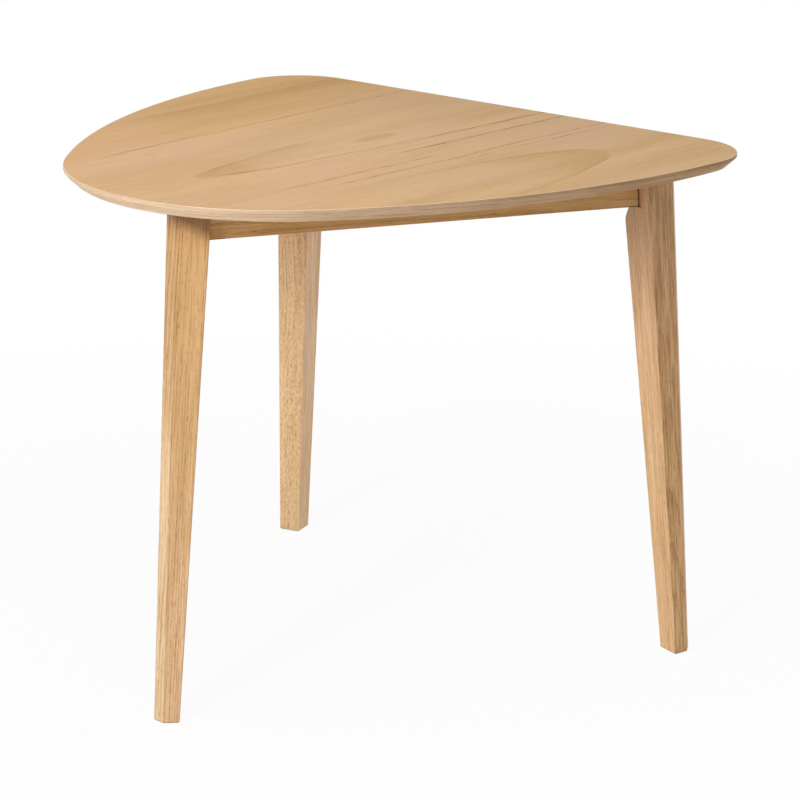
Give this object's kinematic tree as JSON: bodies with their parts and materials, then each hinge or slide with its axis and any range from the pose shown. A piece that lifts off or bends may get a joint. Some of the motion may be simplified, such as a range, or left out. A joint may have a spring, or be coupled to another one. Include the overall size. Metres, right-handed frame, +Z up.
{
  "type": "corner table",
  "caption": "Corner table with a rounded triangular bevelled top, straight along the back, on splayed tapered wooden legs joined by aprons and bolted corner plates.",
  "frame": {"origin": "on the floor, below the middle of the top's width and depth", "axes": "+X along the straight back edge, +Y out through that edge towards the wall, +Z up"},
  "size_m": [0.9, 0.8, 0.75],
  "materials": {
    "top_wood": "pale oak veneer, satin clear lacquer",
    "leg_wood": "pale solid oak, satin clear lacquer",
    "apron_wood": "pale oak, satin clear lacquer",
    "bracket_steel": "bright zinc plate",
    "bolt_steel": "bright zinc plate",
    "screw_steel": "bright zinc plate",
    "glide_plastic": "moulded, matt"
  },
  "bodies": {
    "root": {"back_apron": "apron_wood", "back_bracket_screws": "screw_steel", "back_top_brackets": "bracket_steel", "back_top_screws": "screw_steel", "front_corner_plate": "bracket_steel", "front_glide": "glide_plastic", "front_hanger_bolts": "bolt_steel", "front_leg": "leg_wood", "front_nuts": "bolt_steel", "front_plate_screws": "screw_steel", "front_washers": "bolt_steel", "left_apron": "apron_wood", "left_bracket_screws": "screw_steel", "left_corner_plate": "bracket_steel", "left_glide": "glide_plastic", "left_hanger_bolts": "bolt_steel", "left_leg": "leg_wood", "left_nuts": "bolt_steel", "left_plate_screws": "screw_steel", "left_top_brackets": "bracket_steel", "left_top_screws": "screw_steel", "left_washers": "bolt_steel", "right_apron": "apron_wood", "right_bracket_screws": "screw_steel", "right_corner_plate": "bracket_steel", "right_glide": "glide_plastic", "right_hanger_bolts": "bolt_steel", "right_leg": "leg_wood", "right_nuts": "bolt_steel", "right_plate_screws": "screw_steel", "right_top_brackets": "bracket_steel", "right_top_screws": "screw_steel", "right_washers": "bolt_steel", "table_top": "top_wood"}
  },
  "joints": []
}
